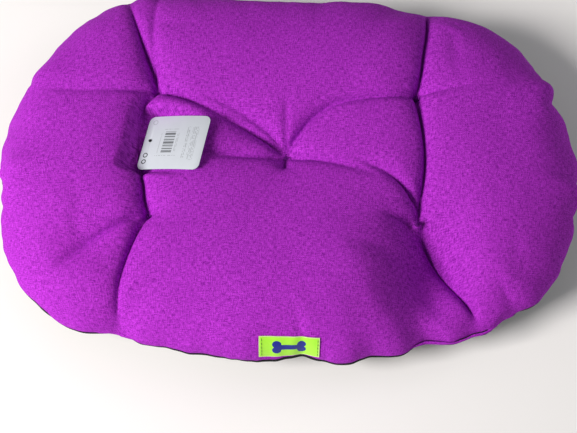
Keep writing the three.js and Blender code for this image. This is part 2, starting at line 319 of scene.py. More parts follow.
def spunThread(name, darkHex, lightHex):
    # spun polyester sewing thread: a soft twist shows as fine slanting bands, satin at most
    material, tree, surface = newMaterial(name, {"Roughness": 0.6, "Specular IOR Level": 0.15})
    place = addNode(tree, "ShaderNodeTexCoord")
    twist = addNode(tree, "ShaderNodeTexWave", {
        "Scale": 1 / (2.2 * mm), "Distortion": 1.5, "bands_direction": "DIAGONAL"},
        {"Vector": (place, "Object")})
    tintSurface(tree, surface, twist, darkHex, lightHex)
    embossSurface(tree, surface, twist, 0.4, 0.1)
    return material


def wovenLabel(label):
    # damask-woven polyester label: dense fine threads with a soft satin shine, a lighter cut
    # edge all round, and a plain bone woven in a second colour
    material, tree, surface = newMaterial("damaskWovenPolyester", {
        "Roughness": 0.55, "Specular IOR Level": 0.35, "Sheen Weight": 0.1})
    pattern = addNode(tree, "ShaderNodeUVMap", {"uv_map": "label"})
    parts = addNode(tree, "ShaderNodeSeparateXYZ", None, {0: pattern})
    halfBone, halfShaft = label["boneLength"] / 2 * mm, label["boneShaft"] / 2 * mm
    motif = insideBox(tree, parts, (0, 0), (halfBone, halfShaft))
    for sideX in (-1, 1):
        for sideY in (-1, 1):
            knob = (sideX * halfBone, sideY * label["knobSpread"] * mm, 0)
            away = addNode(tree, "ShaderNodeVectorMath", {"operation": "DISTANCE", 1: knob}, {0: pattern})
            inKnob = addNode(tree, "ShaderNodeMath", {
                "operation": "LESS_THAN", 1: label["knobWidth"] / 2 * mm}, {0: (away, "Value")})
            motif = addNode(tree, "ShaderNodeMath", {"operation": "MAXIMUM"}, {0: motif, 1: inKnob})
    halfInner = [(size / 2 - label["edgeBand"]) * mm for size in (label["width"], label["height"])]
    inner = insideBox(tree, parts, (0, 0), halfInner)
    edged = addNode(tree, "ShaderNodeMix", {
        "data_type": "RGBA", 6: linearColour(label["edge"]), 7: linearColour(label["ground"])}, {0: inner})
    threads = 1 / (label["threadPitch"] * mm)
    ribs = addNode(tree, "ShaderNodeTexWave", {"Scale": threads / 10, "bands_direction": "Y"}, {0: pattern})
    grain = addNode(tree, "ShaderNodeTexNoise", {"Scale": threads, "Detail": 2.0}, {"Vector": pattern})
    drawn = addNode(tree, "ShaderNodeMix", {"data_type": "RGBA", 7: linearColour(label["motif"])},
                    {0: motif, 6: (edged, 2)})
    shade = addNode(tree, "ShaderNodeMapRange", {"To Min": 0.86, "To Max": 1.08}, {0: grain})
    shaded = addNode(tree, "ShaderNodeMix", {"data_type": "RGBA", "blend_type": "MULTIPLY", 0: 1.0},
                     {6: (drawn, 2), 7: shade})
    tree.links.new(shaded.outputs[2], surface.inputs["Base Color"])
    raised = addNode(tree, "ShaderNodeMath", {"operation": "ADD"}, {0: ribs, 1: motif})
    embossSurface(tree, surface, raised, 0.4, 0.15)
    return material


def unevenBars(tree, parts, pitch):
    # bars across the code: two beats that drift apart give them uneven widths
    beats = []
    for length in (1.0, 1.7):
        perPitch = 2 * math.pi / (length * pitch * mm)
        turn = addNode(tree, "ShaderNodeMath", {"operation": "MULTIPLY", 1: perPitch}, {0: (parts, "Y")})
        beats.append(addNode(tree, "ShaderNodeMath", {"operation": "SINE"}, {0: turn}))
    both = addNode(tree, "ShaderNodeMath", {"operation": "ADD"}, {0: beats[0], 1: beats[1]})
    return addNode(tree, "ShaderNodeMath", {"operation": "GREATER_THAN", 1: -0.1}, {0: both})


def brokenLines(tree, pattern, across, pitch):
    # rows of small print: lines a pitch apart, with gaps where a word would end
    scale = [0, 0, 0]
    scale["XY".index(across)] = 1 / (pitch * mm)
    row = addNode(tree, "ShaderNodeVectorMath", {"operation": "MULTIPLY", 1: scale}, {0: pattern})
    spread = [1 / (pitch * 0.9 * mm)] * 3
    cells = addNode(tree, "ShaderNodeVectorMath", {"operation": "MULTIPLY", 1: spread}, {0: pattern})
    cellNumber = addNode(tree, "ShaderNodeVectorMath", {"operation": "FLOOR"}, {0: cells})
    noiseValue = addNode(tree, "ShaderNodeTexWhiteNoise", None, {0: cellNumber})
    broken = addNode(tree, "ShaderNodeMath", {"operation": "GREATER_THAN", 1: 0.3},
                     {0: (noiseValue, "Value")})
    fraction = addNode(tree, "ShaderNodeVectorMath", {"operation": "FRACTION"}, {0: row})
    fractionParts = addNode(tree, "ShaderNodeSeparateXYZ", None, {0: fraction})
    line = addNode(tree, "ShaderNodeMath", {"operation": "LESS_THAN", 1: 0.5},
                   {0: (fractionParts, across)})
    return addNode(tree, "ShaderNodeMath", {"operation": "MULTIPLY"}, {0: broken, 1: line})


def printedCard(card):
    # coated white board, offset printed: smooth and slightly satin, with grey ink that is
    # solid in the code's bars and broken up in the small print
    material, tree, surface = newMaterial("coatedBoardPrinted", {
        "Roughness": 0.42, "Specular IOR Level": 0.4})
    pattern = addNode(tree, "ShaderNodeUVMap", {"uv_map": "card"})
    parts = addNode(tree, "ShaderNodeSeparateXYZ", None, {0: pattern})
    ink = addNode(tree, "ShaderNodeMath", {"operation": "MULTIPLY", 0: 0, 1: 0})
    for kind, (middleX, middleY), (width, height), pitch, strength in card["blocks"]:
        inside = insideBox(tree, parts, (middleX * mm, middleY * mm), (width / 2 * mm, height / 2 * mm))
        if kind == "bars":
            drawn = unevenBars(tree, parts, pitch)
        else:
            drawn = brokenLines(tree, pattern, "Y" if kind == "level" else "X", pitch)
        block = addNode(tree, "ShaderNodeMath", {"operation": "MULTIPLY"}, {0: inside, 1: drawn})
        faded = addNode(tree, "ShaderNodeMath", {"operation": "MULTIPLY", 1: strength}, {0: block})
        ink = addNode(tree, "ShaderNodeMath", {"operation": "MAXIMUM"}, {0: ink, 1: faded})
    for (middleX, middleY), diameter, thickness, strength in card["rings"]:
        away = addNode(tree, "ShaderNodeVectorMath",
                       {"operation": "DISTANCE", 1: (middleX * mm, middleY * mm, 0)}, {0: pattern})
        ring = addNode(tree, "ShaderNodeMath", {
            "operation": "COMPARE", 1: diameter / 2 * mm, 2: thickness / 2 * mm}, {0: (away, "Value")})
        faded = addNode(tree, "ShaderNodeMath", {"operation": "MULTIPLY", 1: strength}, {0: ring})
        ink = addNode(tree, "ShaderNodeMath", {"operation": "MAXIMUM"}, {0: ink, 1: faded})
    mottle = addNode(tree, "ShaderNodeTexNoise", {"Scale": 90.0, "Detail": 5.0}, {"Vector": pattern})
    paper = addNode(tree, "ShaderNodeMix", {
        "data_type": "RGBA", 6: linearColour(card["paper"]), 7: linearColour(card["paperDark"]),
    }, {0: mottle})
    printed = addNode(tree, "ShaderNodeMix", {"data_type": "RGBA", 7: linearColour(card["ink"])},
                      {0: ink, 6: (paper, 2)})
    tree.links.new(printed.outputs[2], surface.inputs["Base Color"])
    embossSurface(tree, surface, mottle, 0.12, 0.05)
    return material


def mouldedNylon():
    # moulded black nylon: smooth and slightly translucent, with a soft gloss and fine drag marks
    material, tree, surface = newMaterial("mouldedNylon", {"Roughness": 0.35, "IOR": 1.53})
    place = addNode(tree, "ShaderNodeTexCoord")
    marks = addNode(tree, "ShaderNodeTexNoise", {"Scale": 1 / (0.8 * mm), "Detail": 3.0},
                    {"Vector": (place, "Object")})
    tintSurface(tree, surface, marks, "#08080a", "#1c1c20")
    rough = addNode(tree, "ShaderNodeMapRange", {"To Min": 0.28, "To Max": 0.48}, {0: marks})
    tree.links.new(rough.outputs[0], surface.inputs["Roughness"])
    return material


form = {
    "stepsAcross": 124,  # cloth squares along the length
    "stepsDeep": 86,
    "outlinePower": 2.75,  # 2 is an ellipse, more is squarer
    "edgePower": 4.5,
    "edgeRoundness": 0.6,
    "dish": 0.2,  # how much lower the middle lies than the crest
    "dishReach": 0.7,
    "leastTop": 0.3,  # the top sinks below the seam by at most this share of the underside's depth
    "bottomRise": 15,  # mm, how far a tuft pulls the underside up
    "bottomRiseReach": 20,
    "valley": 0.65,  # share of a crease's depth that the whole pillow sinks by
    "heldWidth": 2.6,  # mm, the cloth held down along a crease
    "tuftHeld": 4,  # mm, the cloth held by a tuft
    "tuftDip": 0.9,  # share of the loft that the cloth falls away from round a tuft
    "tuftDipReach": 10,
    "wobble": 4,  # mm, loose wadding under the cloth
    "wobbleSize": 34,
    "rimWobble": 3,
    "lobes": [  # angle in degrees, mm outwards, half width in degrees
        (0, 6, 5), (9, 2, 5), (17, -9, 6), (38, 3, 6), (45, -3, 5), (57, -5, 5), (93, -12, 26),
        (133, 12, 9), (160, -14, 9), (188, -6, 7), (210, 2, 7), (220, 6, 4), (229, -8, 4),
        (240, -5, 5), (262, 1, 10), (276, -5, 4), (287, 5, 4), (295, -3, 4), (308, -10, 5),
        (318, -3, 3), (325, -7, 4),
    ],
    "hollows": [  # where the wadding is thin: plan place, depth and radii in mm
        ((132, -112), 26, (36, 60)), ((-30, 22), 4, (60, 26)), ((-175, -95), 5, (40, 22)),
    ],
    "fitFrom": 0.55,  # the outline's correction fades out from the rim to this share of the radius
    "fitWidth": 0.4,
}
cushionCloth = {
    "frames": 30,
    "quality": 6,
    "mass": 0.001,
    "stiffness": 15,
    "shear": 5,
    "bending": 0.05,
    "damping": 5,
    "bendingDamping": 0.5,
    "pressure": 5,
}

# the creases between the tufts: plan points, their depths and the half width, all in mm
creases = {
    "leftRear": ([(-123, 64), (-131, 84), (-141, 112), (-154, 150), (-166, 184)], [28, 20, 13, 8, 5], 14),
    "leftRearInner": ([(-123, 64), (-128, 95), (-132, 135), (-131, 180)], [26, 9, 5, 3], 12),
    "leftFaint": ([(-123, 64), (-160, 58), (-200, 58), (-232, 62)], [18, 3, 3, 1], 9),
    "leftMiddle": ([(-123, 64), (-133, 52), (-140, 38), (-141, 10), (-139, -12), (-130, -35), (-129, -50),
                    (-124, -64)], [28, 23, 18, 16, 16, 18, 23, 28], 13),
    "leftFront": ([(-124, -64), (-134, -84), (-142, -110), (-148, -140), (-146, -175)],
                  [28, 17, 13, 11, 10], 13),
    "leftFrontOuter": ([(-124, -64), (-140, -70), (-158, -80), (-184, -97), (-203, -116)],
                       [24, 13, 10, 8, 2], 12),
    "rightRear": ([(123, 64), (128, 84), (131, 110), (136, 140), (138, 184)], [28, 21, 17, 15, 12], 14),
    "rightFaint": ([(123, 64), (150, 66), (190, 72)], [16, 3, 1], 8),
    "rightMiddle": ([(123, 64), (125, 50), (129, 25), (131, -5), (128, -35), (124, -64)],
                    [28, 22, 16, 16, 21, 28], 12),
    "rightFront": ([(124, -64), (134, -82), (144, -98), (158, -118), (172, -140), (186, -168)],
                   [30, 31, 31, 28, 22, 12], 15),
    "rightFrontOuter": ([(190, -112), (204, -130), (216, -150)], [2, 6, 8], 8),
    "centreToLeftTuft": ([(0, 0), (-14, 12), (-36, 25), (-70, 42), (-95, 53), (-123, 64)],
                         [24, 12, 9, 8, 11, 26], 9),
    "centreLeftUpper": ([(0, 0), (-10, 19), (-27, 33), (-61, 51), (-95, 59)], [22, 10, 8, 6, 3], 8),
    "centreSlit": ([(1, 13), (0, 0), (-1, -13)], [16, 28, 16], 6),
    "centreLeft": ([(0, 0), (-20, -4), (-50, -4), (-82, -6)], [24, 10, 7, 3], 9),
    "centreToRightTuft": ([(0, 0), (10, 20), (22, 36), (45, 52), (80, 58), (110, 60), (123, 64)],
                          [24, 12, 10, 8, 8, 12, 26], 10),
    "centreRight": ([(0, 0), (25, -5), (62, -14), (100, -30)], [24, 8, 5, 1], 9),
    "rightInner": ([(50, -2), (84, -13), (108, -28), (125, -50)], [1, 6, 9, 22], 9),
    "frontTuftInner": ([(94, -60), (124, -64)], [3, 24], 8),
    "centreRear": ([(0, 0), (0, 20), (0, 50)], [22, 5, 2], 8),
}
tufts = {name: nodeMiddle(name) for name in tuftNodes}
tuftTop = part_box("tuft_thread_center")[1].z - 1.8 * mm  # the cloth lies just under the tack
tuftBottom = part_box("tuft_thread_center")[0].z + 1.8 * mm


def smoothNoise(x, y, size, seed):
    return np.array([noise.noise(Vector((a / size + 0.37, b / size + 0.61, seed + 0.29)))
                     for a, b in zip(x, y)])


def outlineRadius(angle):
    across = np.abs(np.cos(angle) / halfLength) ** form["outlinePower"]
    deep = np.abs(np.sin(angle) / halfWidth) ** form["outlinePower"]
    radius = (across + deep) ** (-1 / form["outlinePower"])
    for middle, out, half in form["lobes"]:
        off = (np.degrees(angle) - middle + 180) % 360 - 180
        radius = radius + out * mm * np.exp(-(off / half) ** 2)
    return radius


def crown(share):
    edge = (1 - share ** form["edgePower"]) ** form["edgeRoundness"]
    return edge * (1 - form["dish"] * (1 - smoothStep(share / form["dishReach"])))


def nearLine(points, depths, x, y):
    # distance from each place to a crease, the crease's depth there, and which way it lies
    line = np.c_[np.array(points), np.array(depths)] * mm
    for turn in range(2):  # its corners are cut twice, which leaves a smooth curve
        cuts = np.stack((line[:-1] * 0.75 + line[1:] * 0.25, line[:-1] * 0.25 + line[1:] * 0.75), axis=1)
        line = np.vstack((line[:1], cuts.reshape(-1, 3), line[-1:]))
    line, deep = line[:, :2], line[:, 2]
    distance = np.full(len(x), np.inf)
    depth = np.zeros(len(x))
    toward = np.zeros((len(x), 2))
    for start, end, depthStart, depthEnd in zip(line[:-1], line[1:], deep[:-1], deep[1:]):
        step = end - start
        along = np.clip(((x - start[0]) * step[0] + (y - start[1]) * step[1]) / (step @ step), 0, 1)
        gapX = start[0] + along * step[0] - x
        gapY = start[1] + along * step[1] - y
        gap = np.hypot(gapX, gapY)
        closer = gap < distance
        distance = np.where(closer, gap, distance)
        depth = np.where(closer, depthStart + (depthEnd - depthStart) * along, depth)
        toward[closer] = np.c_[gapX, gapY][closer]
    return distance, depth, toward


def hollowDepth(x, y):
    depth = np.zeros(len(x))
    for (middleX, middleY), deep, (radiusX, radiusY) in form["hollows"]:
        away = ((x - middleX * mm) / (radiusX * mm)) ** 2 + ((y - middleY * mm) / (radiusY * mm)) ** 2
        depth += deep * mm * np.exp(-away)
    return depth


def cushionStart():
    # the two panels as one closed form, its flat cut, and how firmly each point is held
    bpy.ops.object.select_all(action="DESELECT")
    bpy.ops.mesh.primitive_grid_add(x_subdivisions=form["stepsAcross"], y_subdivisions=form["stepsDeep"],
                                    size=2)
    grid = bpy.context.object
    square = pointsOf(grid)
    faces = [tuple(face.vertices) for face in grid.data.polygons]
    bpy.data.objects.remove(grid)
    discX = square[:, 0] * np.sqrt(1 - square[:, 1] ** 2 / 2) * halfLength
    discY = square[:, 1] * np.sqrt(1 - square[:, 0] ** 2 / 2) * halfWidth
    angle = np.arctan2(discY, discX)
    ellipse = 1 / np.sqrt((np.cos(angle) / halfLength) ** 2 + (np.sin(angle) / halfWidth) ** 2)
    evenShare = np.clip(np.hypot(discX, discY) / ellipse, 0, 1)
    edge = evenShare > 0.99999

    # even spacing over the bulge, and the flat cut's radius, from the length of the bulge's arc
    crest = crown(np.linspace(0, 1, 200)).max()
    fine = np.linspace(0, 1, 400)
    profile = topLoft * crown(fine) / crest
    arcs = {}
    for radius in np.linspace(halfWidth * 0.97, halfLength * 1.05, 8):
        steps = np.hypot(np.diff(fine) * radius, np.diff(profile))
        arcs[radius] = np.r_[0, np.cumsum(steps)]
    radii = list(arcs)
    middleArc = arcs[radii[3]]
    share = np.interp(evenShare, middleArc / middleArc[-1], fine)
    radius = outlineRadius(angle)
    cutRadius = evenShare * np.interp(radius, radii, [arcs[r][-1] for r in radii])
    x = share * radius * np.cos(angle)
    y = share * radius * np.sin(angle)
    flat = np.c_[cutRadius * np.cos(angle), cutRadius * np.sin(angle), np.zeros(len(x))]

    top = topLoft * crown(share) / crest
    cut = np.zeros(len(x))
    held = np.zeros(len(x))
    for points, depths, half in creases.values():
        distance, depth, toward = nearLine(points, depths, x, y)
        cut = np.maximum(cut, form["valley"] * depth * np.exp(-distance / (half * mm)))
        firm = 0.9 * np.clip(depth / (12 * mm), 0, 1)
        held = np.maximum(held, np.where(distance < form["heldWidth"] * mm, firm, 0))
    bottom = -seamHeight * np.minimum(1, crown(share) / crest * 1.1)
    heldBelow = np.zeros(len(x))
    topTuft, bottomTuft = tuftTop - seamHeight, tuftBottom - seamHeight
    for middle in tufts.values():
        distance = np.hypot(x - middle.x, y - middle.y)
        dip = topLoft * form["tuftDip"] - topTuft
        cut = np.maximum(cut, dip * np.exp(-distance / (form["tuftDipReach"] * mm)))
        reach = distance / (form["bottomRiseReach"] * mm)
        bottom = bottom + form["bottomRise"] * mm * np.exp(-reach ** 1.5)
    top = np.maximum(top - cut - hollowDepth(x, y), form["leastTop"] * bottom)
    for middle in tufts.values():
        near = np.hypot(x - middle.x, y - middle.y) < form["tuftHeld"] * mm
        top = np.where(near, topTuft, top)
        bottom = np.where(near, bottomTuft, bottom)
        held = np.where(near, 1.0, held)
        heldBelow = np.where(near, 1.0, heldBelow)
    size = form["wobbleSize"] * mm
    looseness = 0.3 + 0.7 * share ** 6  # the wadding is looser towards the rim
    top = top + form["wobble"] * mm * smoothNoise(x, y, size, 3) * looseness
    bottom = bottom + form["wobble"] * mm * smoothNoise(x, y, size, 12) * looseness
    rim = form["rimWobble"] * mm * smoothNoise(np.cos(angle), np.sin(angle), 0.15, 20)
    top[edge] = rim[edge]
    bottom[edge] = rim[edge]

    # the underside gets its own points, except along the seam, where the panels share them
    count = len(x)
    below = np.arange(count)
    inside = np.where(~edge)[0]
    below[inside] = count + np.arange(len(inside))
    points = np.zeros((count + len(inside), 3))
    points[:count] = np.c_[x, y, top + seamHeight]
    points[below[inside]] = np.c_[x, y, bottom + seamHeight][inside]
    cutPoints = np.zeros_like(points)
    cutPoints[:count] = flat
    cutPoints[below[inside]] = flat[inside]
    cutPoints[:count, 2] = np.where(edge, 0, mm)
    cutPoints[below[inside], 2] = -mm
    hold = np.zeros(len(points))
    hold[:count] = held
    hold[below[inside]] = heldBelow[inside]
    bottomFaces = [tuple(int(below[i]) for i in reversed(face)) for face in faces]
    return points, cutPoints, hold, faces, bottomFaces, edge


def inflateCushion(points, cutPoints, hold, faces):
    # the flat panels, sewn together, filled and held down at the tufts and creases
    mesh = bpy.data.meshes.new("cushionForm")
    mesh.from_pydata(points.tolist(), [], faces)
    mesh.update()
    cushion = bpy.data.objects.new("cushionForm", mesh)
    scene.collection.objects.link(cushion)
    selectOnly(cushion)
    cushion.shape_key_add(name="Basis")
    cutKey = cushion.shape_key_add(name="flatCut")
    cutKey.data.foreach_set("co", cutPoints.ravel())
    cutKey.value = 0
    group = cushion.vertex_groups.new(name="held")
    for index in np.where(hold > 0)[0]:
        group.add([int(index)], float(hold[index]), "REPLACE")
    cloth = cushion.modifiers.new("cloth", "CLOTH")
    settings = cloth.settings
    settings.quality = cushionCloth["quality"]
    settings.mass = cushionCloth["mass"]
    settings.tension_stiffness = cushionCloth["stiffness"]
    settings.compression_stiffness = cushionCloth["stiffness"]
    settings.shear_stiffness = cushionCloth["shear"]
    settings.bending_stiffness = cushionCloth["bending"]
    settings.tension_damping = cushionCloth["damping"]
    settings.compression_damping = cushionCloth["damping"]
    settings.shear_damping = cushionCloth["damping"]
    settings.bending_damping = cushionCloth["bendingDamping"]
    settings.use_pressure = True
    settings.uniform_pressure_force = cushionCloth["pressure"]
    settings.vertex_group_mass = "held"
    settings.pin_stiffness = 1
    settings.rest_shape_key = cutKey
    settings.effector_weights.gravity = 0
    cloth.collision_settings.use_collision = False
    cloth.collision_settings.use_self_collision = False
    cloth.point_cache.frame_start = 1
    cloth.point_cache.frame_end = cushionCloth["frames"]
    scene.frame_start = 1
    scene.frame_end = cushionCloth["frames"]
    for step in range(1, cushionCloth["frames"] + 1):
        scene.frame_set(step)
    shaped = cushion.evaluated_get(bpy.context.evaluated_depsgraph_get()).data
    result = np.empty(len(shaped.vertices) * 3)
    shaped.vertices.foreach_get("co", result)
    scene.frame_set(1)
    bpy.data.objects.remove(cushion)
    return result.reshape(-1, 3)


def fitOutline(points, seam):
    # the pressure rounds the outline off, so the rim is brought back to the outline's lobes
    ring = points[seam]
    ringAngle = np.arctan2(ring[:, 1], ring[:, 0])
    order = np.argsort(ringAngle)
    ringRadius = np.hypot(ring[:, 0], ring[:, 1])
    change = outlineRadius(ringAngle) / ringRadius - 1
    angle = np.arctan2(points[:, 1], points[:, 0])
    rim = np.interp(angle, ringAngle[order], ringRadius[order], period=2 * math.pi)
    grow = np.interp(angle, ringAngle[order], change[order], period=2 * math.pi)
    share = np.hypot(points[:, 0], points[:, 1]) / rim
    fade = smoothStep((share - form["fitFrom"]) / form["fitWidth"])
    points[:, :2] *= (1 + grow * fade)[:, None]
    return points


finish = {  # sizes in mm
    "seamNip": 1.6,  # how far the seam is drawn in
    "seamWidth": 7,  # the two panels move alike this near the seam
    "scallop": 2.2,  # small gathers along the seam
    "scallopSize": 24,
    "scallopReach": 26,
    "creaseDepth": 0.9,  # share of a crease's depth that is a narrow fold
    "creaseMost": 16,  # a crease deeper than this is folded no deeper
    "creaseWidth": 5,
    "creaseFromSeam": 40,  # the folds fade out from here to the seam
    "deepestFold": -8,  # above the seam, so a deep fold ends below it
    "hollow": 0.6,  # share of a hollow that is taken off the filled cloth again
    "hollowFromSeam": 60,
    "pinch": 0.65,  # how far the cloth closes over a fold
    "pinchWidth": 10,
    "pinchFrom": 12,  # a crease as deep as this pinches fully
    "tuftWidth": 3.8,  # the cloth pulled in by a tuft
    "nearTuft": 5,  # past this the deepest fold rises from the tuft's level
    "nearTuftFade": 18,
    "floorSoftness": 4,
}


def foldDetail(points, normals, seamGap, isTop):
    # gathers along the seam, and the narrow folds at the bottom of each crease
    angle = np.arctan2(points[:, 1], points[:, 0])
    reach = np.exp(-(seamGap / (finish["scallopReach"] * mm)) ** 1.3)
    turnX = np.cos(angle) * halfLength / (finish["scallopSize"] * mm)
    turnY = np.sin(angle) * halfLength / (finish["scallopSize"] * mm)
    gathers = smoothNoise(turnX, turnY, 1, 31)
    gathers = gathers + 0.5 * smoothNoise(turnX * 2.1, turnY * 2.1, 1, 47)
    atSeam = np.exp(-(seamGap / (finish["seamWidth"] * mm)) ** 2)[:, None]
    outward = np.c_[np.cos(angle), np.sin(angle), np.zeros(len(angle))]
    direction = normals * (1 - atSeam) + outward * atSeam
    moved = points + direction * (finish["scallop"] * mm * gathers * reach)[:, None]
    moved[:, 2] += 0.6 * finish["scallop"] * mm * smoothNoise(turnX, turnY, 1, 63) * reach
    x, y = points[:, 0], points[:, 1]
    level = tuftTop if isTop else tuftBottom
    if isTop:
        carve = np.zeros(len(x))
        drawn = np.zeros((len(x), 2))
        weight = np.full(len(x), 1e-6)
        for line, depths, half in creases.values():
            distance, depth, toward = nearLine(line, depths, x, y)
            fold = np.minimum(depth, finish["creaseMost"] * mm) * finish["creaseDepth"]
            carve = np.maximum(carve, fold * np.exp(-distance / (finish["creaseWidth"] * mm)))
            close = finish["pinch"] * np.clip(depth / (finish["pinchFrom"] * mm), 0, 1)
            close = close * np.exp(-(distance / (finish["pinchWidth"] * mm)) ** 2)
            drawn += toward * (close ** 2)[:, None]
            weight += close
        # no fold is deeper than the tuft beside it, or than the seam at the rim
        nearest = np.min([np.hypot(x - t.x, y - t.y) for t in tufts.values()], axis=0)
        nearTuft = 1 - smoothStep((nearest - finish["nearTuft"] * mm) / (finish["nearTuftFade"] * mm))
        offSeam = smoothStep(seamGap / (finish["creaseFromSeam"] * mm))
        lowest = seamHeight + finish["deepestFold"] * mm * offSeam
        lowest = lowest + (level - lowest) * nearTuft
        room = np.maximum(moved[:, 2] - lowest, mm)
        moved[:, 2] -= room * (1 - np.exp(-carve * offSeam / room))
        moved[:, :2] += drawn * (offSeam / weight)[:, None]
        offSeam = smoothStep(seamGap / (finish["hollowFromSeam"] * mm))
        moved[:, 2] -= finish["hollow"] * hollowDepth(x, y) * offSeam
    for middle in tufts.values():
        away = np.hypot(moved[:, 0] - middle.x, moved[:, 1] - middle.y)
        pulled = np.exp(-(away / (finish["tuftWidth"] * mm)) ** 4)
        moved[:, 2] += (level - moved[:, 2]) * pulled
    return moved


def settleOnFloor(points):
    soft = finish["floorSoftness"] * mm
    height = points[:, 2] / soft
    points[:, 2] = np.where(height > 6, points[:, 2], soft * np.log1p(np.exp(np.clip(height, -40, 40))))
    return points


def panel(name, points, faces, cutPoints):
    # one cloth panel, with its flat cut in metres as the map of its weave
    used = np.unique(np.array(faces))
    renumber = np.full(len(points), -1)
    renumber[used] = np.arange(len(used))
    mesh = bpy.data.meshes.new(name)
    mesh.from_pydata(points[used].tolist(), [], renumber[np.array(faces)].tolist())
    clothMap = mesh.uv_layers.new(name="cloth")
    corners = np.empty(len(mesh.loops), int)
    mesh.loops.foreach_get("vertex_index", corners)
    clothMap.data.foreach_set("uv", cutPoints[used][corners][:, :2].ravel())
    piece = bpy.data.objects.new(name, mesh)
    scene.collection.objects.link(piece)
    mesh.update()
    return piece


addCamera()
addStudio()
print("stage: camera and studio ready")

startPoints, cutPoints, hold, topFaces, bottomFaces, seamEdge = cushionStart()
body = inflateCushion(startPoints, cutPoints, hold, topFaces + bottomFaces)
seamIndex = np.where(seamEdge)[0]
body = fitOutline(body, seamIndex)
seamPoints = body[seamIndex]
body[seamIndex, :2] *= (1 - finish["seamNip"] * mm / np.hypot(seamPoints[:, 0], seamPoints[:, 1]))[:, None]
seamRing = body[seamIndex]
seamRing = seamRing[np.argsort(np.arctan2(seamRing[:, 1], seamRing[:, 0]))]
print("stage: cushion inflated", np.round(body.min(0) * 1000), np.round(body.max(0) * 1000))


def onRing(ring, angle):
    # the ring's place at each angle round the middle
    ringAngle = np.arctan2(ring[:, 1], ring[:, 0])
    return np.array([np.interp(angle, ringAngle, ring[:, k], period=2 * math.pi) for k in range(3)]).T


def seamDistance(points):
    angle = np.arctan2(points[:, 1], points[:, 0])
    return np.linalg.norm(points - onRing(seamRing, angle), axis=1)


def dressPanel(name, faces, isTop):
    piece = panel(name, body, faces, cutPoints)
    applyModifier(piece, "SUBSURF", {"levels": 1, "render_levels": 1})
    points = pointsOf(piece)
    points = foldDetail(points, normalsOf(piece), seamDistance(points), isTop)
    if isTop:
        points = clearTag(points)
    points = settleOnFloor(points)
    setPoints(piece, points)
    selectOnly(piece)
    bpy.ops.object.shade_smooth()
    return piece


underTag = {  # mm, from the pin's place on the card
    "x": (-9.5, 57),  # the near edge is at -7, and swings past it as the card turns
    "y": (-31, 27),
    "margin": 8,
    "fade": 6,
    "clear": 0.9,
    "swing": 8.5,  # room for the card's near edge, which turns down as the card is lifted
    "swingReach": 8.2,
    "pinDraws": 8.5,
    "pinReach": 6,
}


def withinCard(place, edges):
    # one under the card, falling to nothing past the margin
    low, high = [edge * mm for edge in edges]
    margin, fade = underTag["margin"] * mm, underTag["fade"] * mm
    return smoothStep((place - low + margin) / fade) * smoothStep((high + margin - place) / fade)


def clearTag(points):
    # the cloth stays under the card, and the pin draws it in
    up = np.array(frame["joints"][0]["axis"])
    deep = -np.array(frame["joints"][1]["axis"])
    side = np.cross(deep, up)
    local = points - np.array(frame["joints"][0]["pos_m"])
    along, across, height = local @ side, local @ deep, local @ up
    swing = underTag["swing"] * mm * np.exp(-(along / (underTag["swingReach"] * mm)) ** 4)
    over = np.maximum(height + np.maximum(swing, underTag["clear"] * mm), 0)
    over = over * withinCard(along, underTag["x"]) * withinCard(across, underTag["y"])
    points = points - over[:, None] * up
    nearPin = np.exp(-(np.hypot(along, across) / (underTag["pinReach"] * mm)) ** 2)
    drawn = np.maximum(height + underTag["pinDraws"] * mm, 0) * nearPin
    return points - drawn[:, None] * up


topCover = dressPanel("top_cover_cloth", topFaces, True)
bottomCover = dressPanel("bottom_cover_cloth", bottomFaces, False)
topUsed, bottomUsed = np.unique(np.array(topFaces)), np.unique(np.array(bottomFaces))
topOuter, bottomOuter = pointsOf(topCover), pointsOf(bottomCover)
print("stage: covers shaped", [len(piece.data.polygons) for piece in (topCover, bottomCover)])
clothThickness = {"top": 1.0, "bottom": 0.9}
coverTrees = [BVHTree.FromObject(piece, bpy.context.evaluated_depsgraph_get())
              for piece in (topCover, bottomCover)]
for piece, key in ((topCover, "top"), (bottomCover, "bottom")):
    applyModifier(piece, "SOLIDIFY", {"thickness": clothThickness[key] * mm, "offset": -1})
topWeave = plainWeave("cottonLinenPlainWeave", topCloth)
bottomWeave = plainWeave("polyesterPlainWeave", bottomCloth)
finishPiece(topCover, "cushion", "top_cloth", topWeave, "top_cover")
finishPiece(bottomCover, "cushion", "bottom_cloth", bottomWeave, "bottom_cover")


wadding = {  # mm
    "inset": 2.2,
    "insideSeam": 9,
    "seamWidth": 12,
    "reach": 6,
    "clear": 1.8,
}


